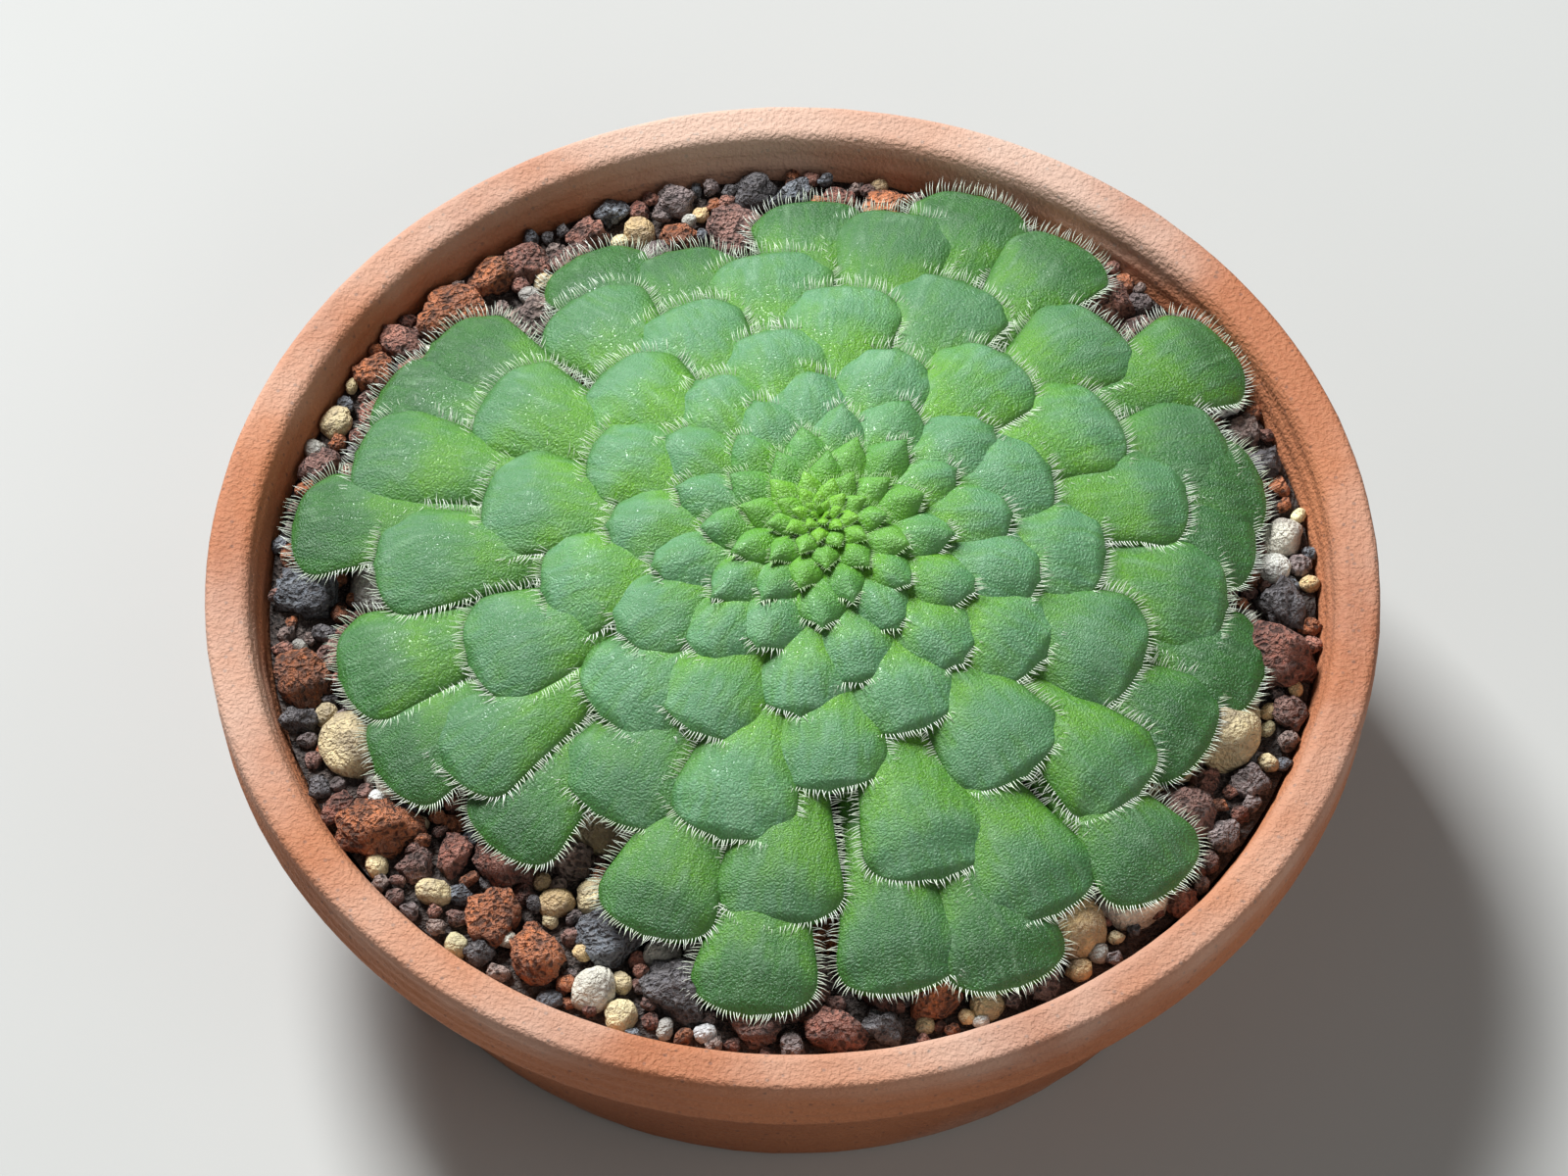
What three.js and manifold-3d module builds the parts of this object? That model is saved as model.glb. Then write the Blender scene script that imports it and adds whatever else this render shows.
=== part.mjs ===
// A dinner plate aeonium, a flat rosette of overlapping leaves, in a plain clay pan.
// Millimetres, +Z up. The origin is the middle of the pan's foot, and -Y is the front.
import * as THREE from "three";
import { mergeVertices } from "three/addons/utils/BufferGeometryUtils.js";
import Module from "manifold-3d";

// Pan
const POT_HEIGHT = 62;
const RIM_RADIUS = 105.5;
const RIM_WALL = 7.5;
const COLLAR_HEIGHT = 15;
const COLLAR_STEP = 2.6;
const COLLAR_TAPER = 1.2;
const FOOT_RADIUS = 83;
const FOOT_CHAMFER = 1.6;
const FLOOR_THICKNESS = 8;
const WALL = 5.5;
const DRAIN_RADIUS = 8;
const EDGE_ROUND = 1.8;
const ROUND_SIDES = 56;

// Fill
const SEAT_GAP = 0.3;
const SOIL_TOP = 45;
const GRAVEL_BED_TOP = 54;
const STONE_TOP = 58.4;
const STONE_TOP_DROP = 1.4;
const STONE_RINGS = [
  { count: 34, radius: 87.5, size: 5.2 },
  { count: 28, radius: 76.5, size: 5.4 },
];
const STONE_DEPTH = 0.88;
const STONE_DEPTH_SWAY = 0.1;
const STONE_HEIGHT = 0.75;
const STONE_SIZE_SWAY = 0.2;
const STONE_STEP_SWAY = 0.2;
const STONE_PLACE_SWAY = 0.8;

// Rosette
const GROWING_POINT = new THREE.Vector2(5, 2);
const LEAF_COUNT = 130;
const DIVERGENCE = 137.5;
const FIRST_AZIMUTH = 114;
const CROWN_TOP = 82;
const DOME_DROP = 19.5;
const DOME_POWER = 1.8;
const FULL_REACH = 88.5;
const LEAF_THICKNESS = [0.35, 0.105];
const YOUNG_TIP_LENGTH = 0.55;
const OLD_TIP_LENGTH = 0.38;
const YOUNG_TIP_FULLNESS = 1.4;
const OLD_TIP_FULLNESS = 2.3;
const NECK_FROM = 0.26;
const NECK_TO = 1.25;
const NECK_WIDTH = 0.5;
const LEAN = 0.023;
const LEAN_AZIMUTH = 198;
const LOBES = 0.06;
const LOBE_PHASE = 151;
const RIPENING = [0.3, 0.7];
const OUTLINE_AGES = [0.3, 0.95];
const TILE_SLOPE = 0.45;
const BASE_RISE = 0.15;
const YOUNG_BASE_DEPTH = 1.6;
const OLD_BASE_DEPTH = 18;
const AZIMUTH_SWAY = 3;
const REACH_SWAY = 0.03;
const WIDTH_SWAY = 0.05;
const ROLL_SWAY = 4;
const CORE_RADIUS = 56;
const CORE_FLARE = 4;
const CORE_RINGS = [0, 6, 18, 32, 45, CORE_RADIUS];
const CORE_DEPTH = [1.7, 4.6];
const CORE_UNDERSIDE = 61;
const STEM_RADIUS = 6.6;
const STEM_FOOT = 33;
const STEM_SIDES = 28;

// How far a leaf reaches from the growing point, by its age from 0, the youngest, to 1.
const REACH_BY_AGE = [
  [0, 1.2],
  [0.183, 9.8],
  [0.375, 23.5],
  [0.563, 43],
  [0.666, 58.5],
  [0.76, 72.5],
  [0.85, 82],
  [0.94, FULL_REACH],
  [1, 0.98 * FULL_REACH],
];

// How wide a leaf of that reach is at its broad end.
const WIDTH_BY_REACH = [
  [0, 1.4],
  [10, 6.8],
  [22, 13],
  [35, 20],
  [48, 23.5],
  [70, 24.5],
  [FULL_REACH, 23],
];

const { clamp, degToRad, lerp, smoothstep } = THREE.MathUtils;
const wasm = await Module();
wasm.setup();

// A repeatable draw from 0 to 1 for the item n, one for each use k.
function chance(n, k) {
  const value = Math.sin(n * 12.9898 + k * 78.233) * 43758.5453;
  return value - Math.floor(value);
}

// The same draw, from -1 to 1.
function sway(n, k) {
  return 2 * chance(n, k) - 1;
}

// Reads a height off a line through points, each [place, height].
function along(points, place) {
  const last = points.length - 1;
  let i = 1;
  while (i < last && place > points[i][0]) i += 1;
  const [x0, y0] = points[i - 1];
  const [x1, y1] = points[i];
  return y0 + ((y1 - y0) * (place - x0)) / (x1 - x0);
}

function solidOf(geometry) {
  const bare = geometry.clone();
  bare.deleteAttribute("normal");
  bare.deleteAttribute("uv");
  const merged = mergeVertices(bare, 1e-4);
  return new wasm.Manifold(
    new wasm.Mesh({
      numProp: 3,
      vertProperties: merged.attributes.position.array,
      triVerts: new Uint32Array(merged.index.array),
    }),
  );
}

function geometryOf(solid) {
  const mesh = solid.getMesh();
  const geometry = new THREE.BufferGeometry();
  geometry.setAttribute("position", new THREE.BufferAttribute(mesh.vertProperties, 3));
  geometry.setIndex(new THREE.BufferAttribute(mesh.triVerts, 1));
  return geometry;
}

// Turns a closed profile round the Z axis. Its [radius, height] pairs run up the inside and
// down the outside, so they are reversed to make the faces point out.
function turned(profile, sides = ROUND_SIDES) {
  const points = profile.map(([radius, height]) => new THREE.Vector2(radius, height)).reverse();
  return new THREE.LatheGeometry(points, sides).rotateX(Math.PI / 2);
}

// The pan's wall leans out from its foot to its rim.
const wallTop = POT_HEIGHT - COLLAR_HEIGHT;
const wallTopRadius = RIM_RADIUS - COLLAR_STEP;

function outerRadius(height) {
  return FOOT_RADIUS + ((wallTopRadius - FOOT_RADIUS) * height) / POT_HEIGHT;
}

function innerRadius(height) {
  const straight = outerRadius(height) - WALL;
  return Math.min(straight, RIM_RADIUS - RIM_WALL);
}

function potGeometry() {
  const rimInner = RIM_RADIUS - RIM_WALL;
  return turned([
    [DRAIN_RADIUS, 0],
    [DRAIN_RADIUS, FLOOR_THICKNESS],
    [innerRadius(FLOOR_THICKNESS), FLOOR_THICKNESS],
    [innerRadius(SOIL_TOP), SOIL_TOP],
    [rimInner, POT_HEIGHT - EDGE_ROUND],
    [rimInner + EDGE_ROUND, POT_HEIGHT],
    [RIM_RADIUS - EDGE_ROUND, POT_HEIGHT],
    [RIM_RADIUS, POT_HEIGHT - EDGE_ROUND],
    [RIM_RADIUS - COLLAR_TAPER, wallTop + EDGE_ROUND],
    [RIM_RADIUS - COLLAR_TAPER - EDGE_ROUND, wallTop],
    [outerRadius(wallTop), wallTop],
    [FOOT_RADIUS, FOOT_CHAMFER],
    [FOOT_RADIUS - FOOT_CHAMFER, 0],
    [DRAIN_RADIUS, 0],
  ]);
}

// The plain round hole that the stem stands in.
function stemHole() {
  const depth = POT_HEIGHT - STEM_FOOT;
  const radius = STEM_RADIUS + SEAT_GAP;
  const hole = new THREE.CylinderGeometry(radius, radius, depth, STEM_SIDES);
  hole.rotateX(Math.PI / 2);
  hole.translate(GROWING_POINT.x, GROWING_POINT.y, STEM_FOOT - SEAT_GAP + depth / 2);
  return solidOf(hole);
}

function soilGeometry() {
  const floor = FLOOR_THICKNESS + SEAT_GAP;
  const top = SOIL_TOP - SEAT_GAP;
  const clear = 2 * SEAT_GAP;
  const fill = turned([
    [0, floor],
    [0, top],
    [innerRadius(top) - clear, top],
    [innerRadius(floor) - clear, floor],
    [0, floor],
  ]);
  return geometryOf(solidOf(fill).subtract(stemHole()));
}

// A stone is a 20-faced ball, squashed and turned at random, and sunk in the bed.
function stoneSolid(ring, n) {
  const size = ring.size * (1 + STONE_SIZE_SWAY * sway(n, 1));
  const stone = new THREE.IcosahedronGeometry(size, 0);
  stone.scale(1, STONE_DEPTH + STONE_DEPTH_SWAY * sway(n, 2), STONE_HEIGHT);
  stone.rotateX(Math.PI * chance(n, 3));
  stone.rotateZ(2 * Math.PI * chance(n, 4));
  stone.computeBoundingBox();
  const azimuth = (2 * Math.PI * (n + STONE_STEP_SWAY * sway(n, 5))) / ring.count;
  const radius = ring.radius + STONE_PLACE_SWAY * sway(n, 6);
  const top = STONE_TOP - STONE_TOP_DROP * chance(n, 7);
  const lift = top - stone.boundingBox.max.z;
  stone.translate(radius * Math.cos(azimuth), radius * Math.sin(azimuth), lift);
  return solidOf(stone);
}

function gravelGeometry() {
  const bottom = SOIL_TOP;
  const clear = 2 * SEAT_GAP;
  let bed = solidOf(
    turned([
      [0, bottom],
      [0, GRAVEL_BED_TOP],
      [innerRadius(GRAVEL_BED_TOP) - clear, GRAVEL_BED_TOP],
      [innerRadius(bottom) - clear, bottom],
      [0, bottom],
    ]),
  );
  bed = bed.subtract(stemHole());
  for (const ring of STONE_RINGS) {
    for (let n = 0; n < ring.count; n += 1) bed = bed.add(stoneSolid(ring, n));
  }
  return geometryOf(bed);
}

// The height of the dome that the leaf tips lie on.
function domeHeight(reach) {
  return CROWN_TOP - DOME_DROP * (reach / FULL_REACH) ** DOME_POWER;
}

function domeSlope(reach) {
  return ((DOME_DROP * DOME_POWER) / FULL_REACH) * (reach / FULL_REACH) ** (DOME_POWER - 1);
}

// The plate isn't a true circle: old leaves reach further to the left, and in three lobes.
function lopsided(azimuth, age) {
  const lean = LEAN * Math.cos(azimuth - degToRad(LEAN_AZIMUTH));
  const lobes = LOBES * Math.cos(3 * azimuth - degToRad(LOBE_PHASE));
  return 1 + (lean + lobes) * smoothstep(age, ...OUTLINE_AGES);
}

// The sizes of leaf n, counted from the growing point outwards.
function leafPlan(n) {
  const age = n / (LEAF_COUNT - 1);
  const azimuth = degToRad(FIRST_AZIMUTH - DIVERGENCE * n + AZIMUTH_SWAY * sway(n, 1));
  const nominal = along(REACH_BY_AGE, age);
  const reach = nominal * lopsided(azimuth, age) * (1 + REACH_SWAY * sway(n, 2));
  const width = along(WIDTH_BY_REACH, nominal) * (1 + WIDTH_SWAY * sway(n, 3));
  const ripe = smoothstep(age, ...RIPENING);
  return {
    azimuth,
    reach,
    width,
    thickness: LEAF_THICKNESS[0] + LEAF_THICKNESS[1] * width,
    tipHeight: domeHeight(nominal),
    tipSlope: TILE_SLOPE * domeSlope(nominal),
    baseHeight: CROWN_TOP - lerp(YOUNG_BASE_DEPTH, OLD_BASE_DEPTH, age),
    roll: degToRad(ROLL_SWAY * sway(n, 4)),
    tipLength: width * lerp(YOUNG_TIP_LENGTH, OLD_TIP_LENGTH, ripe),
    tipFullness: lerp(YOUNG_TIP_FULLNESS, OLD_TIP_FULLNESS, ripe),
  };
}

// Half the leaf's width at a distance from its tip: a broad round end on a blade with straight
// sides that close in to a long neck.
function halfWidth(leaf, fromTip) {
  const inTip = 1 - Math.min(1, fromTip / leaf.tipLength);
  const round = (1 - inTip ** leaf.tipFullness) ** (1 / leaf.tipFullness);
  const necking = clamp((fromTip / leaf.width - NECK_FROM) / (NECK_TO - NECK_FROM), 0, 1);
  return 0.5 * leaf.width * round * lerp(1, NECK_WIDTH, necking);
}

// The height of the leaf's crown at a distance from the growing point: up from the stem, over
// and down to the tip.
function crownHeight(leaf, distance) {
  const t = distance / leaf.reach;
  const rise = BASE_RISE * leaf.reach;
  const fall = -leaf.tipSlope * leaf.reach;
  return (
    (2 * t ** 3 - 3 * t ** 2 + 1) * leaf.baseHeight +
    (t ** 3 - 2 * t ** 2 + t) * rise +
    (3 * t ** 2 - 2 * t ** 3) * leaf.tipHeight +
    (t ** 3 - t ** 2) * fall
  );
}

// Round a leaf's cross-section: across as a share of the half width, down as a share of the
// thickness. A broad top, two thin margins and a keeled underside.
const SECTION = [
  [1, 0.5],
  [0.55, 0],
  [-0.55, 0],
  [-1, 0.5],
  [0, 1],
];
// Where the cross-sections lie, from the tip inwards, as shares of the width. The small leaves
// of the heart have fewer, and those that show their necks have more.
const HEART_LEAVES = 44;
const MIDDLE_LEAVES = 74;
const HEART_STATIONS = [0, 0.18, 0.6];
const MIDDLE_STATIONS = [0, 0.07, 0.24, 0.56];
const OUTER_STATIONS = [0, 0.07, 0.24, 0.5, 1];
const THIN_TIP = 0.3;
const LEAST_SPAN = 1.1;
const ROOT_DEPTH = 5;

// The packed leaf bases and the stem are one turned core, which the leaves stand out of.
function coreTop(radius) {
  return domeHeight(radius) - lerp(CORE_DEPTH[0], CORE_DEPTH[1], radius / CORE_RADIUS);
}

function stationShares(n) {
  if (n < HEART_LEAVES) return HEART_STATIONS;
  return n < MIDDLE_LEAVES ? MIDDLE_STATIONS : OUTER_STATIONS;
}

// One leaf is a ball with a pole at the tip and a pole in the core, drawn out over its sections.
function leafSolid(n) {
  const leaf = leafPlan(n);
  const toCore = leaf.reach - CORE_RADIUS + ROOT_DEPTH;
  const span = Math.min(leaf.reach, Math.max(LEAST_SPAN * leaf.width, toCore));
  const stations = [...stationShares(n).map((share) => share * leaf.width), span];
  const sides = SECTION.length;
  const ball = new THREE.SphereGeometry(1, sides, stations.length - 1);
  const place = ball.getAttribute("position");
  for (let i = 0; i < place.count; i += 1) {
    const station = Math.floor(i / (sides + 1));
    const [across, down] = SECTION[(i % (sides + 1)) % sides];
    const fromTip = stations[station];
    const distance = leaf.reach - fromTip;
    const pole = station === 0 || station === stations.length - 1;
    const half = pole ? 0 : halfWidth(leaf, fromTip);
    const thinning = Math.min(1, Math.sqrt(fromTip / (THIN_TIP * leaf.width)));
    const depth = pole ? 0.5 : 0.5 + (down - 0.5) * thinning;
    const side = across * half;
    const crown = crownHeight(leaf, distance) + side * Math.sin(leaf.roll);
    const rooted = station === stations.length - 1;
    const height = rooted ? coreTop(distance) - leaf.thickness : crown - depth * leaf.thickness;
    place.setXYZ(i, distance, side, height);
  }
  return solidOf(ball.rotateZ(leaf.azimuth));
}

function coreSolid() {
  const profile = [[0, STEM_FOOT]];
  for (const radius of CORE_RINGS) profile.push([radius, coreTop(radius)]);
  profile.push(
    [CORE_RADIUS - CORE_FLARE, CORE_UNDERSIDE + CORE_FLARE / 2],
    [STEM_RADIUS + CORE_FLARE, CORE_UNDERSIDE],
    [STEM_RADIUS, CORE_UNDERSIDE - CORE_FLARE],
    [STEM_RADIUS, STEM_FOOT],
    [0, STEM_FOOT],
  );
  return solidOf(turned(profile, STEM_SIDES));
}

function rosetteGeometry() {
  let rosette = coreSolid();
  for (let n = 0; n < LEAF_COUNT; n += 1) rosette = rosette.add(leafSolid(n));
  return geometryOf(rosette);
}

const plant = new THREE.Group();

function addPiece(name, geometry, color, roughness) {
  const material = new THREE.MeshStandardMaterial({ color, roughness, metalness: 0 });
  const mesh = new THREE.Mesh(geometry, material);
  mesh.name = name;
  plant.add(mesh);
  return mesh;
}

addPiece("pot", potGeometry(), 0xb0653f, 0.85);
addPiece("soil", soilGeometry(), 0x3b2c22, 0.95);
addPiece("lava_gravel", gravelGeometry(), 0x5c4038, 0.9);
const rosette = addPiece("rosette", rosetteGeometry(), 0x6fae5c, 0.6);
rosette.position.set(GROWING_POINT.x, GROWING_POINT.y, 0);

export default plant;
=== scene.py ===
# A dinner plate aeonium in a plain clay pan: every leaf with its fringe, and every stone.
# Sizes are in millimetres, and a piece is turned into metres as it is placed.
import math
import random
from types import SimpleNamespace

import bmesh
import bpy
from mathutils import Matrix, Vector, noise


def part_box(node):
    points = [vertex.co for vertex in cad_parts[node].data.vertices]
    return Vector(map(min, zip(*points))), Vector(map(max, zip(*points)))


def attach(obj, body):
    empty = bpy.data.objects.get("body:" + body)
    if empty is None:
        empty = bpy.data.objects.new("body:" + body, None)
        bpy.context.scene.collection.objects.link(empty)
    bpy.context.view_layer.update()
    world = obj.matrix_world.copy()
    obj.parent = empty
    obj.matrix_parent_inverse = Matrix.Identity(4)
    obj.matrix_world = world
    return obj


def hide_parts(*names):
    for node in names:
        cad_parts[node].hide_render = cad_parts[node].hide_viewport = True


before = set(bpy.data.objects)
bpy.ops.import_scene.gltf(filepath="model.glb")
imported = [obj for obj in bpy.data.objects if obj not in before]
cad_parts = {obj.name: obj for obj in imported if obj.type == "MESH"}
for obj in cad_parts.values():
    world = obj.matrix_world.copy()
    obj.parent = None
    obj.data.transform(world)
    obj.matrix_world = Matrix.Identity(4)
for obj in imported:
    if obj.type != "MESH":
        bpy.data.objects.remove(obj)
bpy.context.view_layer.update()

MM = 0.001
UP = Vector((0, 0, 1))

# What the frame says of the pan and of what lies in it
pan_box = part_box("pot")
gravel_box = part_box("lava_gravel")
rosette_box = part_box("rosette")
soil_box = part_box("soil")
POT_HEIGHT = pan_box[1].z / MM
RIM_RADIUS = pan_box[1].x / MM
GRAVEL_BOTTOM = gravel_box[0].z / MM
STONE_TOP = gravel_box[1].z / MM
STEM_FOOT = rosette_box[0].z / MM

# Pan
RIM_WALL = 7.5
COLLAR_HEIGHT = 15
COLLAR_STEP = 2.6
COLLAR_TAPER = 1.2
FOOT_RADIUS = 83
FLOOR_THICKNESS = 8
WALL = 5.5
EDGE_ROUNDING = 1.6
WALL_CUTS = 24
CUT_OVER = 3
DRAIN_RADIUS = 8
PAN_STEPS = 144
RIPPLE = 0.16
RIPPLE_PITCH = 3.4
FOOT_FADE = (1, 5)
RIM_FADE = 2.5
PAN_WOBBLE = 0.35
WOBBLES_ROUND = 1.3
WOBBLE_LENGTH = 45
PAN_GRIT = 0.12
GRITS_PER_METRE = 350
PAN_SHRINKAGE = 0.3
FOOT_LIME_TOP = 20
RIM_LIME_FOOT = 45

# Rosette, by the same rules as the solids
GROWING_POINT = (5, 2)
LEAF_COUNT = 130
DIVERGENCE = 137.5
FIRST_AZIMUTH = 114
CROWN_TOP = 82
DOME_DROP = 19.5
DOME_POWER = 1.8
FULL_REACH = 88.5
LEAF_THICKNESS = (0.35, 0.105)
YOUNG_TIP_LENGTH = 0.55
OLD_TIP_LENGTH = 0.38
YOUNG_TIP_FULLNESS = 1.4
OLD_TIP_FULLNESS = 2.3
NECK_FROM = 0.26
NECK_TO = 1.25
NECK_WIDTH = 0.5
LEAN = 0.023
LEAN_AZIMUTH = 198
LOBES = 0.06
LOBE_PHASE = 151
OUTLINE_AGES = (0.3, 0.95)
RIPENING = (0.3, 0.7)
TILE_SLOPE = 0.45
BASE_RISE = 0.15
YOUNG_BASE_DEPTH = 1.6
OLD_BASE_DEPTH = 18
AZIMUTH_SWAY = 3
REACH_SWAY = 0.03
WIDTH_SWAY = 0.05
ROLL_SWAY = 4
STEM_RADIUS = 6.6
STEM_HEAD = 13
STEM_TOP_DEPTH = 2.6
STEM_STEPS = 64
STEM_LUMPS = 0.5
LUMPS_PER_METRE = 160
GREEN_STEM_DEPTH = 9
LEAF_ROOT = 2.5
LEAF_ROOT_SHARE = 0.3
REACH_BY_AGE = [
    (0, 1.2),
    (0.183, 9.8),
    (0.375, 23.5),
    (0.563, 43),
    (0.666, 58.5),
    (0.76, 72.5),
    (0.85, 82),
    (0.94, FULL_REACH),
    (1, 0.98 * FULL_REACH),
]
WIDTH_BY_REACH = [
    (0, 1.4),
    (10, 6.8),
    (22, 13),
    (35, 20),
    (48, 23.5),
    (70, 24.5),
    (FULL_REACH, 23),
]
LEAF_GROUPS = [("heart", 0, 44), ("middle", 44, 84), ("outer", 84, LEAF_COUNT)]

# Fine form of a leaf
LEAF_SIDES = 32
LEAF_RINGS = 30
TIP_RING_SHARE = 0.6
MARGIN_ROUNDING = 0.85
EDGE_BLUNTNESS = 0.5
THIN_TIP = 0.07
YOUNG_FOLD = 0.36
OLD_FOLD = 0.03
YOUNG_POINT = 0.9
OLD_POINT = 0.35
POINT_HALF_WIDTH = 0.9
POINT_LENGTH = 0.8
POINT_FULL_WIDTH = 8
POINT_SWAY = 0.5
FOLD_SOFTNESS = 0.6
FOLD_END = (0.3, 1.0)
TIP_DROOP = 0.15
DROOP_END = (-0.2, 0.45)
CAMBER = 0.085
CAMBER_START = (0, 0.2)
DENT = 0.5
DENT_HALF_WIDTH = 1.5
DENT_LENGTH = 5
SKIN_WAVES = 0.5
SKIN_WAVE_LENGTH = 8
WAVY_WIDTH = 24
MARGIN_WAVES = 0.035
MARGIN_WAVE_LENGTH = 5
# How far apart the leaves lie in each pattern, so that no two are alike
MARGIN_WAVE_STEP = 1.7
SKIN_WAVE_STEP = 9.0
STREAK_STEP = 3.0

# Where the wax and the dark rim lie on a leaf, in shares of its width; the rim is partly a darker
# green and partly painted shade where the margin and tip turn down
WAX_REACH = 0.24
WAX_REACH_SWAY = 0.15
WAX_FADE = 0.62
WAX_BULGE = 0.3
UNDERSIDE_WAX = 0.4
UNDERSIDE_FROM = -0.2
RIM_AT_SIDES = (0.8, 0.99)
RIM_AT_TIP = 0.09
TIP_RIM_SHARE = 0.9
AGE_TONE_SWAY = 0.05

# Fringe of hairs on the leaf margins
HAIR_SPACING = 0.55
YOUNG_SPACING = 0.75
SPACING_SWAY = 0.35
YOUNG_HAIR = 0.95
OLD_HAIR = 2.4
HAIR_RADIUS = 0.1
YOUNG_HAIR_RADIUS = 0.5
HAIR_BELLY = 1.35
HAIR_TIP = 0.02
# The leaf widths over which spacing, length and radius go from young to old
SPACING_WIDTHS = (6, 16)
LENGTH_WIDTHS = (4, 20)
RADIUS_WIDTHS = (3, 14)
HAIR_BEND = 0.3
HAIR_SWEEP = 0.6
HAIR_LEAN = 0.22
HAIR_LEAN_SWAY = 0.28
HAIR_LIFT = 0.34
HAIR_LIFT_SWAY = 0.3
HAIR_LENGTH_SWAY = 0.22
HAIR_ROOT_DEPTH = 0.15
HAIR_ROOT_RISE = 0.25
FRINGE_REACH = 38
FRINGE_SHARE = 0.85
MARGIN_STEPS = 90
LIME_HAIRS_WITHIN = 8
WHITE_HAIRS_FROM = 26

# Lava gravel
STONE_SEED = 11
STONES_FROM = 48
BED_TOP = 53.5
CRUMB_HEIGHT = 1.1
# From large to small: their sizes, how many are tried, and how close they may lie
STONE_RANKS = [
    ((5.8, 8.2), 85, 0.80),
    ((3.4, 5.0), 420, 0.76),
    ((1.6, 2.8), 900, 0.66),
]
SPOT_TRIES = 14
WALL_GAP = 0.8
WALL_SHARE = 0.95
STONE_SINKING = (0.1, 1.6)
SMALLER_SINKING = 0.5
HIGHEST_SHARE = 0.72
LOWEST_SHARE = 0.25
SUNK_SHARE = 0.3
FLAT_CUTS = 9
STONE_WIDTHS = (0.72, 0.95)
STONE_HEIGHTS = (0.6, 0.85)
STONE_TIP = (-0.5, 0.5)
STONE_SHADES = (1.0, 1.55)
LUMPS_ROUND = 2.6
STONE_STEP = 3.1
BED_STEPS = 96
CRUMBS_PER_METRE = 260

# Colours of the leaves, the hairs, the stem, the stones, the soil, the clay and the floor
YOUNG_LIME = (0.115, 0.37, 0.008, 1)
LIME = (0.13, 0.35, 0.02, 1)
YOUNG_BLOOM = (0.125, 0.35, 0.05, 1)
BLOOM = (0.13, 0.31, 0.165, 1)
# Darkening of the old leaves: partly their deeper green, partly painted shade on the low outer
# leaves
OLD_GREEN_AND_SHADE = (0.016, 0.072, 0.016, 1)
GRAIN_GREEN = (0.04, 0.14, 0.04, 1)
DIM_STREAK = (0.045, 0.17, 0.025, 1)
PALE_STREAK = (0.32, 0.52, 0.30, 1)
PATCH_GREEN = (0.05, 0.20, 0.03, 1)
# Dark rim: partly the margin's darker green, partly painted shade where the margin and tip turn
# down
RIM_GREEN_AND_SHADE = (0.035, 0.14, 0.012, 1)
HEART_LIME = (0.21, 0.49, 0.03, 1)
HAIR_GREENISH = (0.80, 0.91, 0.68, 1)
HAIR_WHITE = (0.94, 0.97, 0.90, 1)
HAIR_LIME = (0.42, 0.78, 0.14, 1)
# Painted glow: emission that stands in for light shining through the hairs
HAIR_PAINTED_GLOW = (0.9, 1.0, 0.86, 1)
DARK_BARK = (0.10, 0.075, 0.04, 1)
LIGHT_BARK = (0.19, 0.17, 0.08, 1)
LEAF_SCAR = (0.28, 0.22, 0.13, 1)
GREEN_STEM = (0.10, 0.26, 0.015, 1)
BED_TONE = (0.09, 0.06, 0.05, 1)
STONE_SHADE = (0.42, 0.40, 0.42, 1)
STONE_DUST = (0.36, 0.31, 0.28, 1)
# Painted shade in the pore hollows of the stones
PORE_PAINTED_SHADE = (0.03, 0.022, 0.02, 1)
DARK_SOIL = (0.018, 0.012, 0.008, 1)
LIGHT_SOIL = (0.075, 0.05, 0.034, 1)
SOIL_GRIT = (0.3, 0.27, 0.23, 1)
DARK_CLAY = (0.33, 0.105, 0.042, 1)
LIGHT_CLAY = (0.43, 0.15, 0.06, 1)
CLAY_GRAIN = (0.46, 0.20, 0.095, 1)
IRON_SPECK = (0.13, 0.06, 0.04, 1)
LIME_CRUST = (0.74, 0.68, 0.60, 1)
DARK_FLOOR = (0.40, 0.395, 0.38, 1)
LIGHT_FLOOR = (0.43, 0.425, 0.41, 1)


def clamp(value):
    """Keeps a share between 0 and 1."""
    return min(1.0, max(0.0, value))


def lerp(a, b, share):
    """The value that lies a share of the way from a to b."""
    return a + (b - a) * share


def smooth(value, low, high):
    """Goes from 0 at low to 1 at high, with soft ends."""
    share = clamp((value - low) / (high - low))
    return share * share * (3 - 2 * share)


def signed_power(value, power):
    """A power that keeps the sign of its value."""
    return math.copysign(abs(value) ** power, value)


def chance(n, k):
    """A repeatable draw from 0 to 1 for item n, one for each use k, as in the solids."""
    value = math.sin(n * 12.9898 + k * 78.233) * 43758.5453
    return value - math.floor(value)


def sway(n, k):
    """A repeatable draw from -1 to 1."""
    return 2 * chance(n, k) - 1


def along(points, place):
    """Reads a height off a line through points, each (place, height)."""
    for (x0, y0), (x1, y1) in zip(points, points[1:]):
        if place <= x1:
            break
    return y0 + (y1 - y0) * (place - x0) / (x1 - x0)


# Materials
def feed(tree, socket, value):
    """Gives an input socket a plain value, or links it to the socket that feeds it."""
    if isinstance(value, bpy.types.NodeSocket):
        tree.links.new(value, socket)
    else:
        socket.default_value = value


def put(tree, kind, inputs=None, **settings):
    """Adds a shader node with its settings and inputs."""
    node = tree.nodes.new("ShaderNode" + kind)
    for name, value in settings.items():
        setattr(node, name, value)
    for name, value in (inputs or {}).items():
        feed(tree, node.inputs[name], value)
    return node


def blend(tree, share, first, second, mode="MIX"):
    """Mixes two colours and gives the mixed colour's socket."""
    mix = put(tree, "Mix", data_type="RGBA", blend_type=mode)
    for place, value in ((0, share), (6, first), (7, second)):
        feed(tree, mix.inputs[place], value)
    return mix.outputs[2]


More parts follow.
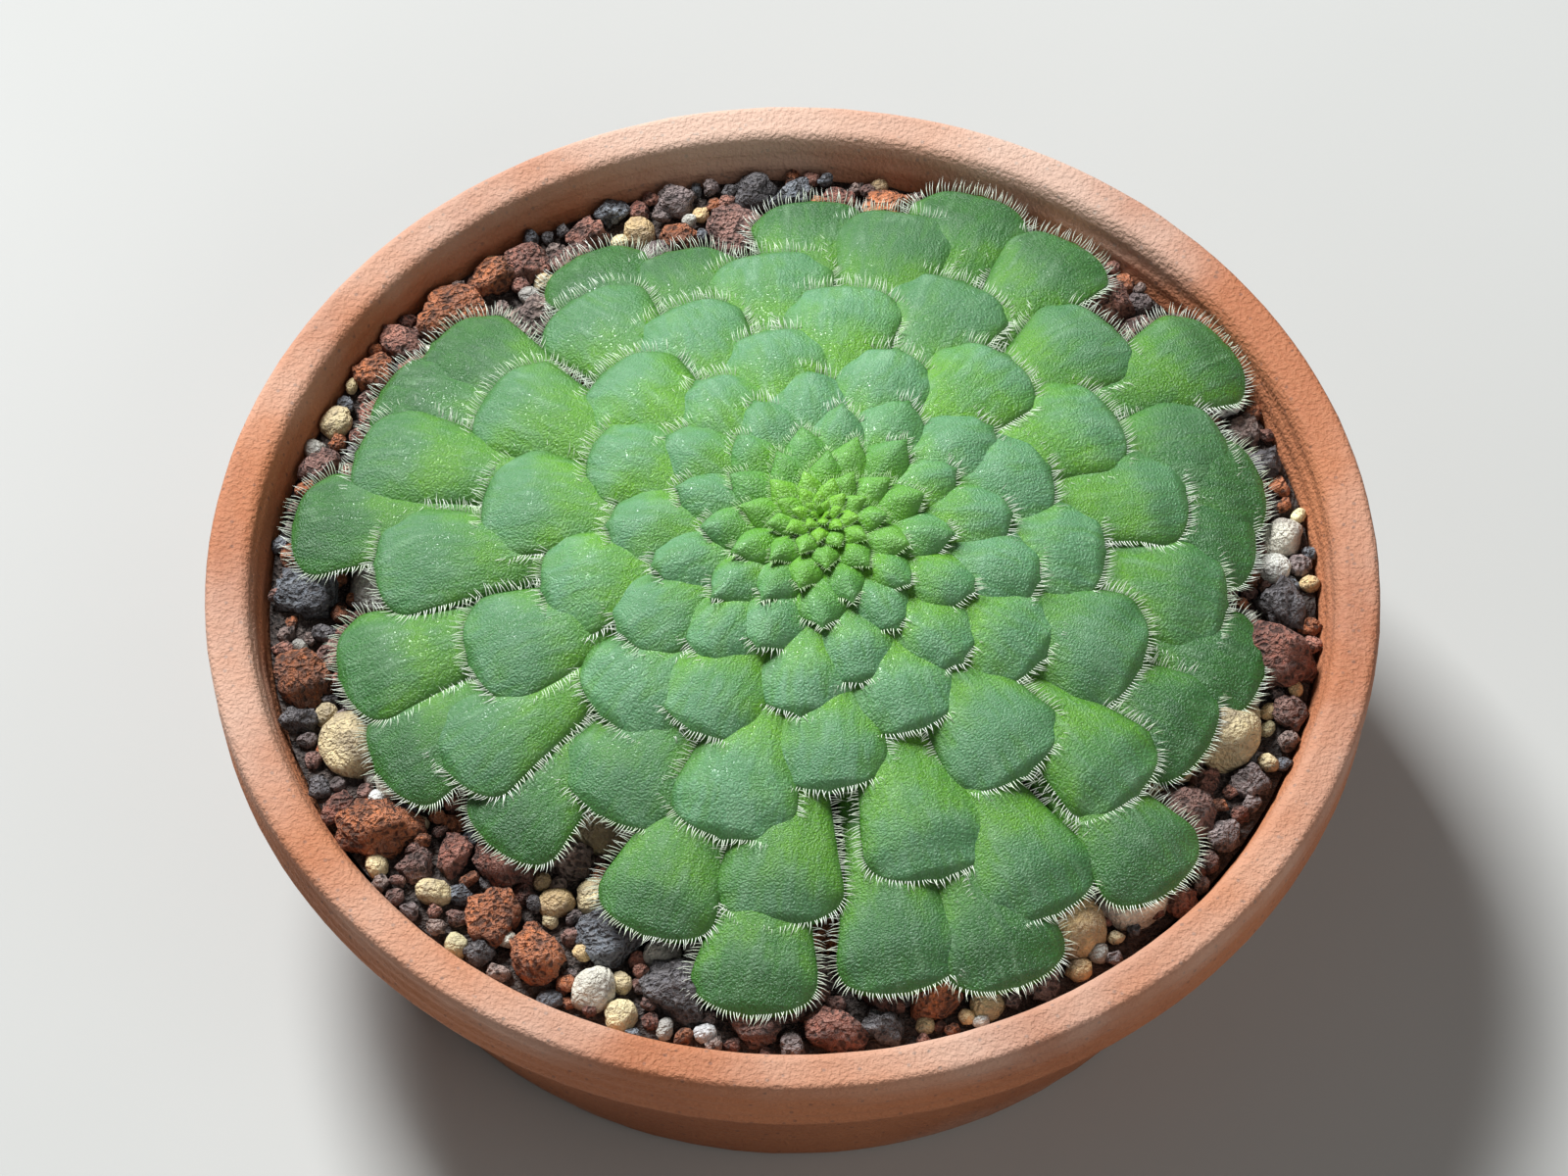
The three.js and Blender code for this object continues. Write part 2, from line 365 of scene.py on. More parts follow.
def reckon(tree, operation, *values, use_clamp=False):
    """Works out one number from others, each a value or a socket."""
    math_node = put(tree, "Math", operation=operation, use_clamp=use_clamp)
    for socket, value in zip(math_node.inputs, values):
        feed(tree, socket, value)
    return math_node.outputs[0]


def spread(tree, value, low, high, to_low=0.0, to_high=1.0):
    """Stretches a value's range, with smooth ends."""
    ranged = put(
        tree,
        "MapRange",
        {
            "Value": value,
            "From Min": low,
            "From Max": high,
            "To Min": to_low,
            "To Max": to_high,
        },
        interpolation_type="SMOOTHSTEP",
    )
    return ranged.outputs[0]


def new_group(name, inputs, outputs):
    """Starts a shader node group and gives its tree and the two end nodes."""
    tree = bpy.data.node_groups.new(name, "ShaderNodeTree")
    for socket_name, kind, value in inputs:
        socket = tree.interface.new_socket(socket_name, in_out="INPUT", socket_type=kind)
        if value is not None:
            socket.default_value = value
    for socket_name, kind in outputs:
        tree.interface.new_socket(socket_name, in_out="OUTPUT", socket_type=kind)
    start = tree.nodes.new("NodeGroupInput")
    end = tree.nodes.new("NodeGroupOutput")
    return tree, start, end


def grain_group():
    """Two masks: soft patches, and fine grain."""
    tree, start, end = new_group(
        "fine_grain",
        [
            ("Vector", "NodeSocketVector", None),
            ("Patches", "NodeSocketFloat", 40.0),
            ("Grains", "NodeSocketFloat", 900.0),
        ],
        [("Patch", "NodeSocketFloat"), ("Grain", "NodeSocketFloat")],
    )
    where = start.outputs["Vector"]
    patch = put(
        tree, "TexNoise", {"Vector": where, "Scale": start.outputs["Patches"], "Detail": 4.0}
    )
    grain = put(
        tree, "TexNoise", {"Vector": where, "Scale": start.outputs["Grains"], "Detail": 3.0}
    )
    tree.links.new(spread(tree, patch.outputs[0], 0.3, 0.7), end.inputs["Patch"])
    tree.links.new(spread(tree, grain.outputs[0], 0.3, 0.7), end.inputs["Grain"])
    return tree


def pores_group():
    """Gas bubbles that cooled in the stone: a height to sink and a mask of the hollows."""
    tree, start, end = new_group(
        "lava_pores",
        [
            ("Vector", "NodeSocketVector", None),
            ("Size", "NodeSocketFloat", 700.0),
            ("Amount", "NodeSocketFloat", 1.0),
        ],
        [("Height", "NodeSocketFloat"), ("Hollow", "NodeSocketFloat")],
    )
    where = start.outputs["Vector"]
    bent = put(tree, "TexNoise", {"Vector": where, "Scale": 260.0, "Detail": 2.0})
    shift = put(
        tree,
        "MixRGB",
        {"Fac": 0.004, "Color1": where, "Color2": bent.outputs["Color"]},
        blend_type="ADD",
    )
    bubbles = put(
        tree,
        "TexVoronoi",
        {"Vector": shift.outputs[0], "Scale": start.outputs["Size"]},
        feature="F1",
    )
    half = reckon(tree, "MULTIPLY", start.outputs["Size"], 0.42)
    wide = put(
        tree,
        "TexVoronoi",
        {"Vector": shift.outputs[0], "Scale": half},
        feature="F1",
    )
    small_hollow = spread(tree, bubbles.outputs["Distance"], 0.48, 0.2)
    wide_hollow = spread(tree, wide.outputs["Distance"], 0.36, 0.12)
    hollow = reckon(tree, "MAXIMUM", small_hollow, wide_hollow)
    hollow = reckon(tree, "MULTIPLY", hollow, start.outputs["Amount"])
    rough = put(tree, "TexNoise", {"Vector": where, "Scale": 1400.0, "Detail": 3.0})
    height = reckon(tree, "MULTIPLY_ADD", hollow, -1.0, rough.outputs[0])
    tree.links.new(height, end.inputs["Height"])
    tree.links.new(hollow, end.inputs["Hollow"])
    return tree


GRAIN = grain_group()
PORES = pores_group()


def new_finish(name):
    """Starts a material and gives its tree and its shader."""
    material = bpy.data.materials.new(name)
    material.use_nodes = True
    tree = material.node_tree
    return material, tree, tree.nodes["Principled BSDF"]


def use_group(tree, group, inputs):
    """Places a shared group in a material and gives its outputs."""
    node = tree.nodes.new("ShaderNodeGroup")
    node.node_tree = group
    for name, value in inputs.items():
        feed(tree, node.inputs[name], value)
    return node.outputs


def bump(tree, shader, height, depth):
    """Gives a finish a relief of a depth in metres."""
    node = put(tree, "Bump", {"Height": height, "Distance": depth, "Strength": 1.0})
    tree.links.new(node.outputs[0], shader.inputs["Normal"])


def leaf_finish():
    """Waxy leaf skin: a blue bloom on the blade's end, lime towards the stem, darker with age; the
    darkening is partly the older leaves' deeper green and partly painted shade on the low outer
    leaves.
    """
    material, tree, shader = new_finish("leaf_skin")
    place = put(tree, "Attribute", attribute_name="leaf_place").outputs["Vector"]
    looks = put(tree, "Attribute", attribute_name="leaf_looks").outputs["Vector"]
    parts = put(tree, "SeparateXYZ", {"Vector": looks})
    age, waxy, rim = parts.outputs
    heart = spread(tree, age, 0.32, 0.06)
    streak_place = put(tree, "Mapping", {"Vector": place, "Scale": (1.0, 0.3, 1.0)}).outputs[0]
    streaks = put(tree, "TexNoise", {"Vector": streak_place, "Scale": 520.0, "Detail": 5.0})
    grain = use_group(tree, GRAIN, {"Vector": place, "Patches": 150.0, "Grains": 2600.0})
    streak = spread(tree, streaks.outputs[0], 0.3, 0.7)
    ragged = reckon(tree, "MULTIPLY_ADD", streak, 0.4, -0.2)
    patchy = reckon(tree, "MULTIPLY_ADD", grain["Patch"], 0.5, -0.25)
    wax = reckon(tree, "ADD", waxy, ragged)
    wax = reckon(tree, "ADD", wax, patchy, use_clamp=True)

    young = spread(tree, age, 0.2, 0.48)
    lime = blend(tree, young, YOUNG_LIME, LIME)
    bloom = blend(tree, young, YOUNG_BLOOM, BLOOM)
    skin = blend(tree, wax, lime, bloom)
    # Darker with age: partly the older leaves' deeper green, partly painted shade on the low outer
    # leaves
    old_and_shade = spread(tree, age, 0.6, 0.95, 0.0, 0.95)
    old_and_shade = reckon(tree, "MULTIPLY", old_and_shade, reckon(tree, "MULTIPLY_ADD", wax, 0.62, 0.38))
    skin = blend(tree, old_and_shade, skin, OLD_GREEN_AND_SHADE)
    dark_grain = reckon(tree, "MULTIPLY", grain["Grain"], 0.4)
    skin = blend(tree, dark_grain, skin, GRAIN_GREEN)
    dim = reckon(tree, "MULTIPLY", spread(tree, streaks.outputs[0], 0.5, 0.32), 0.36)
    skin = blend(tree, dim, skin, DIM_STREAK)
    pale = reckon(tree, "MULTIPLY", spread(tree, streaks.outputs[0], 0.52, 0.76), 0.24)
    skin = blend(tree, pale, skin, PALE_STREAK)
    shade = reckon(tree, "MULTIPLY", grain["Patch"], 0.34)
    skin = blend(tree, shade, skin, PATCH_GREEN)
    # Dark rim: partly darker green, partly painted shade where the margin and tip turn down
    skin = blend(tree, reckon(tree, "MULTIPLY", rim, 0.7), skin, RIM_GREEN_AND_SHADE)
    skin = blend(tree, reckon(tree, "MULTIPLY", heart, 0.7), skin, HEART_LIME)
    tree.links.new(skin, shader.inputs["Base Color"])

    rough = reckon(tree, "MULTIPLY_ADD", grain["Grain"], 0.22, 0.25)
    tree.links.new(rough, shader.inputs["Roughness"])
    height = reckon(tree, "MULTIPLY_ADD", streak, 0.8, grain["Grain"])
    bump(tree, shader, height, 0.00015)
    return material


def fringe_finish():
    """White hairs with a faint painted glow in place of light shining through them, and lime near
    the growing point.
    """
    material, tree, shader = new_finish("fringe_hair")
    where = put(tree, "TexCoord").outputs["Object"]
    grain = use_group(tree, GRAIN, {"Vector": where, "Patches": 200.0, "Grains": 1200.0})
    hair = blend(tree, grain["Patch"], HAIR_GREENISH, HAIR_WHITE)
    centre = [*(share * MM for share in GROWING_POINT), CROWN_TOP * MM]
    away = put(tree, "VectorMath", {0: where, 1: centre}, operation="DISTANCE").outputs["Value"]
    near_heart = spread(tree, away, WHITE_HAIRS_FROM * MM, LIME_HAIRS_WITHIN * MM, 0.0, 0.75)
    hair = blend(tree, near_heart, hair, HAIR_LIME)
    tree.links.new(hair, shader.inputs["Base Color"])
    shader.inputs["Roughness"].default_value = 0.35
    # A painted glow: the hairs give off light in place of light shining through them
    shader.inputs["Emission Color"].default_value = HAIR_PAINTED_GLOW
    shader.inputs["Emission Strength"].default_value = 0.16
    return material


def stem_finish():
    """Corky stem with the scars of fallen leaves, green at the top."""
    material, tree, shader = new_finish("corky_stem")
    where = put(tree, "TexCoord").outputs["Object"]
    grain = use_group(tree, GRAIN, {"Vector": where, "Patches": 180.0, "Grains": 1100.0})
    scars = put(tree, "TexVoronoi", {"Vector": where, "Scale": 260.0}, feature="F1")
    scar = spread(tree, scars.outputs["Distance"], 0.2, 0.5)
    bark = blend(tree, grain["Patch"], DARK_BARK, LIGHT_BARK)
    bark = blend(tree, scar, LEAF_SCAR, bark)
    height_now = put(tree, "SeparateXYZ", {"Vector": where}).outputs["Z"]
    brown_below = (CROWN_TOP - OLD_BASE_DEPTH) * MM
    green_above = (CROWN_TOP - GREEN_STEM_DEPTH) * MM
    green = spread(tree, height_now, brown_below, green_above)
    bark = blend(tree, green, bark, GREEN_STEM)
    tree.links.new(bark, shader.inputs["Base Color"])
    shader.inputs["Roughness"].default_value = 0.85
    bump(tree, shader, reckon(tree, "ADD", scar, grain["Grain"]), 0.0005)
    return material


def stone_finish(name, pore_size, pore_amount, depth, roughness):
    """Stone in the colour that each stone carries, with pores darkened by painted shade, grit and
    dusty high spots.
    """
    material, tree, shader = new_finish(name)
    where = put(tree, "TexCoord").outputs["Object"]
    tone = put(tree, "Attribute", attribute_name="stone_tone").outputs["Color"]
    grain = use_group(tree, GRAIN, {"Vector": where, "Patches": 150.0, "Grains": 1300.0})
    pores = use_group(tree, PORES, {"Vector": where, "Size": pore_size, "Amount": pore_amount})
    dark = blend(tree, 1.0, tone, STONE_SHADE, "MULTIPLY")
    body = blend(tree, grain["Patch"], dark, tone)
    dust = reckon(tree, "MULTIPLY", grain["Grain"], 0.22)
    body = blend(tree, dust, body, STONE_DUST)
    # Painted shade: the pore hollows are darkened where shade would fall in them
    body = blend(tree, reckon(tree, "MULTIPLY", pores["Hollow"], 0.72), body, PORE_PAINTED_SHADE)
    tree.links.new(body, shader.inputs["Base Color"])
    shader.inputs["Roughness"].default_value = roughness
    height = reckon(tree, "ADD", pores["Height"], grain["Grain"])
    bump(tree, shader, height, depth)
    return material


def soil_finish():
    """Dark gritty potting mix, seen through the drain hole."""
    material, tree, shader = new_finish("potting_mix")
    where = put(tree, "TexCoord").outputs["Object"]
    grain = use_group(tree, GRAIN, {"Vector": where, "Patches": 120.0, "Grains": 800.0})
    mix = blend(tree, grain["Grain"], DARK_SOIL, LIGHT_SOIL)
    mix = blend(tree, spread(tree, grain["Patch"], 0.75, 1.0), mix, SOIL_GRIT)
    tree.links.new(mix, shader.inputs["Base Color"])
    shader.inputs["Roughness"].default_value = 0.95
    bump(tree, shader, grain["Grain"], 0.001)
    return material


def clay_finish():
    """Fired clay: throwing lines, iron specks, and a lime bloom on foot and rim."""
    material, tree, shader = new_finish("fired_clay")
    where = put(tree, "TexCoord").outputs["Object"]
    grain = use_group(tree, GRAIN, {"Vector": where, "Patches": 22.0, "Grains": 1300.0})
    flat = put(tree, "Mapping", {"Vector": where, "Scale": (0.1, 0.1, 1.0)}).outputs[0]
    lines = put(tree, "TexNoise", {"Vector": flat, "Scale": 900.0, "Detail": 3.0})
    clouds = put(tree, "TexNoise", {"Vector": where, "Scale": 16.0, "Detail": 6.0})
    height_now = put(tree, "SeparateXYZ", {"Vector": where}).outputs["Z"]
    clay = blend(tree, grain["Patch"], DARK_CLAY, LIGHT_CLAY)
    clay = blend(tree, reckon(tree, "MULTIPLY", grain["Grain"], 0.25), clay, CLAY_GRAIN)
    specks = put(tree, "TexVoronoi", {"Vector": where, "Scale": 420.0}, feature="F1")
    speck = reckon(tree, "MULTIPLY", spread(tree, specks.outputs["Distance"], 0.2, 0.1), 0.55)
    clay = blend(tree, speck, clay, IRON_SPECK)
    near_foot = spread(tree, height_now, FOOT_LIME_TOP * MM, 0.0)
    near_rim = spread(tree, height_now, RIM_LIME_FOOT * MM, POT_HEIGHT * MM)
    band = reckon(tree, "MAXIMUM", near_foot, near_rim)
    lime = reckon(tree, "MULTIPLY_ADD", band, 0.26, clouds.outputs[0])
    lime = spread(tree, lime, 0.66, 0.98, 0.0, 0.4)
    clay = blend(tree, lime, clay, LIME_CRUST)
    tree.links.new(clay, shader.inputs["Base Color"])
    rough = reckon(tree, "MULTIPLY_ADD", lime, 0.15, 0.78)
    tree.links.new(rough, shader.inputs["Roughness"])
    relief = reckon(tree, "MULTIPLY_ADD", lines.outputs[0], 1.4, grain["Grain"])
    bump(tree, shader, relief, 0.00016)
    return material


def floor_finish():
    """Plain pale paint for the floor under the pan."""
    material, tree, shader = new_finish("pale_floor")
    where = put(tree, "TexCoord").outputs["Object"]
    grain = use_group(tree, GRAIN, {"Vector": where, "Patches": 3.0, "Grains": 500.0})
    paint = blend(tree, grain["Patch"], DARK_FLOOR, LIGHT_FLOOR)
    tree.links.new(paint, shader.inputs["Base Color"])
    shader.inputs["Roughness"].default_value = 0.7
    return material


# Making pieces
def mesh_from(bm, name):
    """Makes a finished mesh and ends its making."""
    mesh = bpy.data.meshes.new(name)
    bm.to_mesh(mesh)
    bm.free()
    return mesh


def add_piece(name, mesh, material, node):
    """Adds a finished mesh as a piece of the plant that stands for a solid of the frame."""
    piece = bpy.data.objects.new(name, mesh)
    bpy.context.scene.collection.objects.link(piece)
    mesh.materials.append(material)
    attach(piece, "root")
    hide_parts(node)


def copies_of(pattern, count):
    """A mesh in the making that holds so many copies of a pattern, and each copy's vertices."""
    bm = bmesh.new()
    for _ in range(count):
        bm.from_mesh(pattern)
    bm.verts.ensure_lookup_table()
    size = len(pattern.vertices)
    vertices = list(bm.verts)
    groups = [vertices[i * size : (i + 1) * size] for i in range(count)]
    return bm, groups


# The rosette
def dome_height(reach):
    """The height of the low dome that the leaf tips lie on."""
    return CROWN_TOP - DOME_DROP * (reach / FULL_REACH) ** DOME_POWER


def dome_slope(reach):
    """How steeply the dome falls at a reach."""
    return DOME_DROP * DOME_POWER / FULL_REACH * (reach / FULL_REACH) ** (DOME_POWER - 1)


def lopsided(azimuth, age):
    """The share by which the outline is longer on one side and slightly three-lobed."""
    lean = LEAN * math.cos(azimuth - math.radians(LEAN_AZIMUTH))
    lobes = LOBES * math.cos(3 * azimuth - math.radians(LOBE_PHASE))
    return 1 + (lean + lobes) * smooth(age, *OUTLINE_AGES)


def leaf_plan(n):
    """The sizes of leaf n, counted from the growing point outwards."""
    age = n / (LEAF_COUNT - 1)
    azimuth = math.radians(FIRST_AZIMUTH - DIVERGENCE * n + AZIMUTH_SWAY * sway(n, 1))
    nominal = along(REACH_BY_AGE, age)
    reach = nominal * lopsided(azimuth, age) * (1 + REACH_SWAY * sway(n, 2))
    width = along(WIDTH_BY_REACH, nominal) * (1 + WIDTH_SWAY * sway(n, 3))
    ripe = smooth(age, *RIPENING)
    point = lerp(YOUNG_POINT, OLD_POINT, ripe) * clamp(width / POINT_FULL_WIDTH)
    return SimpleNamespace(
        n=n,
        age=age,
        azimuth=azimuth,
        reach=reach,
        width=width,
        span=reach - min(LEAF_ROOT, LEAF_ROOT_SHARE * reach),
        thickness=LEAF_THICKNESS[0] + LEAF_THICKNESS[1] * width,
        tip_height=dome_height(nominal),
        tip_slope=TILE_SLOPE * dome_slope(nominal),
        base_height=CROWN_TOP - lerp(YOUNG_BASE_DEPTH, OLD_BASE_DEPTH, age),
        roll=math.radians(ROLL_SWAY * sway(n, 4)),
        tip_length=width * lerp(YOUNG_TIP_LENGTH, OLD_TIP_LENGTH, ripe),
        fullness=lerp(YOUNG_TIP_FULLNESS, OLD_TIP_FULLNESS, ripe),
        fold=lerp(YOUNG_FOLD, OLD_FOLD, ripe),
        point=point * (1 + POINT_SWAY * sway(n, 5)),
        dent=DENT * ripe * max(0, sway(n, 6)),
    )


def half_width(leaf, from_tip):
    """Half the leaf's width at a distance from its tip."""
    in_tip = 1 - min(1, from_tip / leaf.tip_length)
    rounding = (1 - in_tip**leaf.fullness) ** (1 / leaf.fullness)
    necking = clamp((from_tip / leaf.width - NECK_FROM) / (NECK_TO - NECK_FROM))
    return 0.5 * leaf.width * rounding * lerp(1, NECK_WIDTH, necking)


def crown_height(leaf, distance):
    """The height of the leaf's crown: up from the stem, over and down to the tip."""
    t = distance / leaf.reach
    return (
        (2 * t**3 - 3 * t**2 + 1) * leaf.base_height
        + (t**3 - 2 * t**2 + t) * BASE_RISE * leaf.reach
        + (3 * t**2 - 2 * t**3) * leaf.tip_height
        - (t**3 - t**2) * leaf.tip_slope * leaf.reach
    )


def ring_place(leaf, share):
    """How far from the tip a ring of the leaf's skin lies: most rings are in the round tip."""
    tip = leaf.tip_length
    if share < TIP_RING_SHARE:
        turn = math.cos(0.5 * math.pi * share / TIP_RING_SHARE)
        return tip * (1 - max(0, turn) ** (2 / leaf.fullness))
    return lerp(tip, leaf.span, (share - TIP_RING_SHARE) / (1 - TIP_RING_SHARE))


def skin_point(leaf, from_tip, around):
    """A point of a leaf's skin before the leaf is turned, and how far across and up it lies."""
    across = signed_power(math.cos(around), MARGIN_ROUNDING)
    up = signed_power(math.sin(around), EDGE_BLUNTNESS)
    place = (from_tip / MARGIN_WAVE_LENGTH, 3 * across, leaf.n * MARGIN_WAVE_STEP)
    wave = noise.noise(Vector(place))
    side = across * half_width(leaf, from_tip) * (1 + MARGIN_WAVES * wave)
    tip_share = from_tip / leaf.width
    distance = leaf.reach - from_tip
    point_share = math.exp(-((side / POINT_HALF_WIDTH) ** 2) - from_tip / POINT_LENGTH)
    distance += leaf.point * point_share
    thinning = min(1, math.sqrt(tip_share / THIN_TIP))
    crown = crown_height(leaf, min(distance, leaf.reach)) + side * math.sin(leaf.roll)
    near_tip = 1 - smooth(tip_share, *FOLD_END)
    folded = leaf.fold * (math.hypot(side, FOLD_SOFTNESS) - FOLD_SOFTNESS) * near_tip
    droop = TIP_DROOP * leaf.width * (1 - smooth(tip_share, *DROOP_END))
    camber = CAMBER * leaf.width * across * across * smooth(tip_share, *CAMBER_START)
    dent = leaf.dent * math.exp(-((side / DENT_HALF_WIDTH) ** 2) - from_tip / DENT_LENGTH)
    place = Vector((side, from_tip, leaf.n * SKIN_WAVE_STEP)) / SKIN_WAVE_LENGTH
    waves = SKIN_WAVES * noise.noise(place) * clamp(leaf.width / WAVY_WIDTH)
    height = crown - folded - droop - camber - dent + waves
    height += leaf.thickness * (0.5 * thinning * up - 0.5)
    return Vector((distance, side, height)), across, up


def leaf_looks(leaf, from_tip, across, up):
    """Age, waxy bloom and dark rim at a point of the skin; the rim is partly a darker green and
    partly painted shade where the margin and tip turn down.
    """
    tip_share = from_tip / leaf.width
    reach = WAX_REACH + WAX_REACH_SWAY * sway(leaf.n, 7)
    waxy = 1 - smooth(tip_share + WAX_BULGE * across * across, reach, reach + WAX_FADE)
    if up < UNDERSIDE_FROM:
        waxy *= UNDERSIDE_WAX
    # The tip's part of the rim is painted shade where the tip rolls down
    tip_rim = TIP_RIM_SHARE * (1 - smooth(tip_share, 0.0, RIM_AT_TIP))
    rim = smooth(abs(across), *RIM_AT_SIDES) + tip_rim
    age = leaf.age + AGE_TONE_SWAY * sway(leaf.n, 8)
    return Vector((age, waxy, clamp(rim)))


def to_place(leaf, point):
    """Turns a point of a leaf to the leaf's azimuth, in metres."""
    turn = Matrix.Rotation(leaf.azimuth, 3, "Z")
    return (turn @ point + Vector((*GROWING_POINT, 0))) * MM


def leaf_pattern():
    """A ball with room for what each point of a leaf's skin carries."""
    bm = bmesh.new()
    bmesh.ops.create_uvsphere(bm, u_segments=LEAF_SIDES, v_segments=LEAF_RINGS, radius=1)
    bm.verts.layers.float_vector.new("leaf_place")
    bm.verts.layers.float_vector.new("leaf_looks")
    return mesh_from(bm, "leaf_pattern")


def shape_leaf(leaf, vertices, place_layer, looks_layer):
    """Draws a ball out into a leaf: its top pole is the tip, and its other pole is the root."""
    for vertex in vertices:
        share = math.acos(max(-1, min(1, vertex.co.z))) / math.pi
        around = math.atan2(vertex.co.y, vertex.co.x)
        from_tip = ring_place(leaf, share)
        point, across, up = skin_point(leaf, from_tip, around)
        vertex[place_layer] = Vector((point.y, from_tip, leaf.n * STREAK_STEP)) * MM
        vertex[looks_layer] = leaf_looks(leaf, from_tip, across, up)
        vertex.co = to_place(leaf, point)


def add_leaves(name, leaves, material):
    """Shapes a group of leaves in one piece."""
    bm, groups = copies_of(leaf_pattern(), len(leaves))
    place_layer = bm.verts.layers.float_vector["leaf_place"]
    looks_layer = bm.verts.layers.float_vector["leaf_looks"]
    for leaf, vertices in zip(leaves, groups):
        shape_leaf(leaf, vertices, place_layer, looks_layer)
    bmesh.ops.recalc_face_normals(bm, faces=bm.faces)
    mesh = mesh_from(bm, name)
    mesh.shade_smooth()
    add_piece(name, mesh, material, "rosette")


# The fringe
def hair_pattern():
    """A three-sided spike, one unit long, with a ring where it bends."""
    bm = bmesh.new()
    lift = Matrix.Translation((0, 0, 0.5))
    bmesh.ops.create_cone(
        bm, cap_ends=True, segments=3, radius1=1, radius2=HAIR_TIP, depth=1, matrix=lift
    )
    geom = bm.verts[:] + bm.edges[:] + bm.faces[:]
    bmesh.ops.bisect_plane(bm, geom=geom, plane_co=(0, 0, 0.5), plane_no=(0, 0, 1))
    for vertex in bm.verts:
        if abs(vertex.co.z - 0.5) < 0.01:
            vertex.co.x *= HAIR_BELLY
            vertex.co.y *= HAIR_BELLY
    return mesh_from(bm, "hair_pattern")


def margin_line(leaf):
    """Points along the margin, from one side of the base round the tip to the other side."""
    last = min(leaf.span * FRINGE_SHARE, FRINGE_REACH)
    shares = [i / MARGIN_STEPS for i in range(MARGIN_STEPS + 1)]
    reaches = [ring_place(leaf, share) for share in shares]
    reaches = [reach for reach in reaches if reach <= last]
    one_side = [skin_point(leaf, reach, math.pi)[0] for reach in reversed(reaches)]
    other_side = [skin_point(leaf, reach, 0)[0] for reach in reaches[1:]]
    return one_side + other_side


def hair_places(leaf):
    """Root, outward direction and forward direction of each hair of a leaf."""
    line = margin_line(leaf)
    spacing = HAIR_SPACING * lerp(YOUNG_SPACING, 1, smooth(leaf.width, *SPACING_WIDTHS))
    places = []
    walked = 0.0
    goal = spacing * 0.5
    for start, end in zip(line, line[1:]):
        step = (end - start).length
        while step > 0 and goal <= walked + step:
            tangent = (end - start).normalized()
            outward = tangent.cross(UP).normalized()
            places.append((start.lerp(end, (goal - walked) / step), outward, tangent))
            goal += spacing * (1 + SPACING_SWAY * sway(len(places) + 31 * leaf.n, 9))
        walked += step
    return places


def hair_of(leaf, k, place):
    """The form of hair k of a leaf: it stands out from the margin and bends a little."""
    root, outward, tangent = place
    draw = k + 200 * leaf.n
    tipward = 1 if tangent.x > 0 else -1
    lean = HAIR_LEAN * tipward * abs(tangent.x) + HAIR_LEAN_SWAY * sway(draw, 1)
    lift = HAIR_LIFT + HAIR_LIFT_SWAY * sway(draw, 2)
    ahead = (outward + tangent * lean + UP * lift).normalized()
    sideways = ahead.cross(UP).normalized()
    above = sideways.cross(ahead)
    length = lerp(YOUNG_HAIR, OLD_HAIR, smooth(leaf.width, *LENGTH_WIDTHS))
    length *= 1 + HAIR_LENGTH_SWAY * sway(draw, 3)
    bend = (above * sway(draw, 4) + tangent * HAIR_SWEEP * tipward) * HAIR_BEND
    return SimpleNamespace(
        root=root - outward * HAIR_ROOT_DEPTH + UP * HAIR_ROOT_RISE * leaf.thickness,
        run=ahead * length,
        bend=bend * length,
        sideways=sideways,
        above=above,
        thick=HAIR_RADIUS * lerp(YOUNG_HAIR_RADIUS, 1, smooth(leaf.width, *RADIUS_WIDTHS)),
    )


def hair_point(hair, share):
    """A point of a hair's middle line, by its share of the hair's length."""
    return hair.root + hair.run * share + hair.bend * share * share


def side_of(leaf, point):
    """Where a point lies by a leaf: 1 above it, 0 inside it, -1 under it, or None past it."""
    from_tip = leaf.reach - point.x
    if not 0 < from_tip < leaf.span:
        return None
    half = half_width(leaf, from_tip)
    if abs(point.y) >= half:
        return None
    around = math.acos(signed_power(point.y / half, 1 / MARGIN_ROUNDING))
    top = skin_point(leaf, from_tip, around)[0].z
    bottom = skin_point(leaf, from_tip, -around)[0].z
    return (point.z > top) - (point.z < bottom)


def pokes_through(leaf, hair, younger):
    """Whether a hair runs into one of the younger leaves, which lie over this one."""
    points = [hair_point(hair, share) for share in (0, 0.5, 1)]
    for other in younger:
        turn = Matrix.Rotation(leaf.azimuth - other.azimuth, 3, "Z")
        sides = {side_of(other, turn @ point) for point in points}
        if 0 in sides or sides >= {-1, 1}:
            return True
    return False


def plant_hair(leaf, hair, vertices):
    """Bends a spike along a hair and sets it on the leaf's margin."""
    for vertex in vertices:
        x, y, z = vertex.co
        across = (hair.sideways * x + hair.above * y) * hair.thick
        vertex.co = to_place(leaf, hair_point(hair, z) + across)


def add_fringe(name, leaves, material):
    """Plants the hairs of a group of leaves in one piece."""
    rows = []
    for leaf in leaves:
        hairs = [hair_of(leaf, k, place) for k, place in enumerate(hair_places(leaf))]
        younger = all_leaves[: leaf.n]
        rows += [(leaf, hair) for hair in hairs if not pokes_through(leaf, hair, younger)]
    bm, groups = copies_of(hair_pattern(), len(rows))
    for (leaf, hair), vertices in zip(rows, groups):
        plant_hair(leaf, hair, vertices)
    bmesh.ops.recalc_face_normals(bm, faces=bm.faces)
    mesh = mesh_from(bm, name)
    mesh.shade_smooth()
    add_piece(name, mesh, material, "rosette")


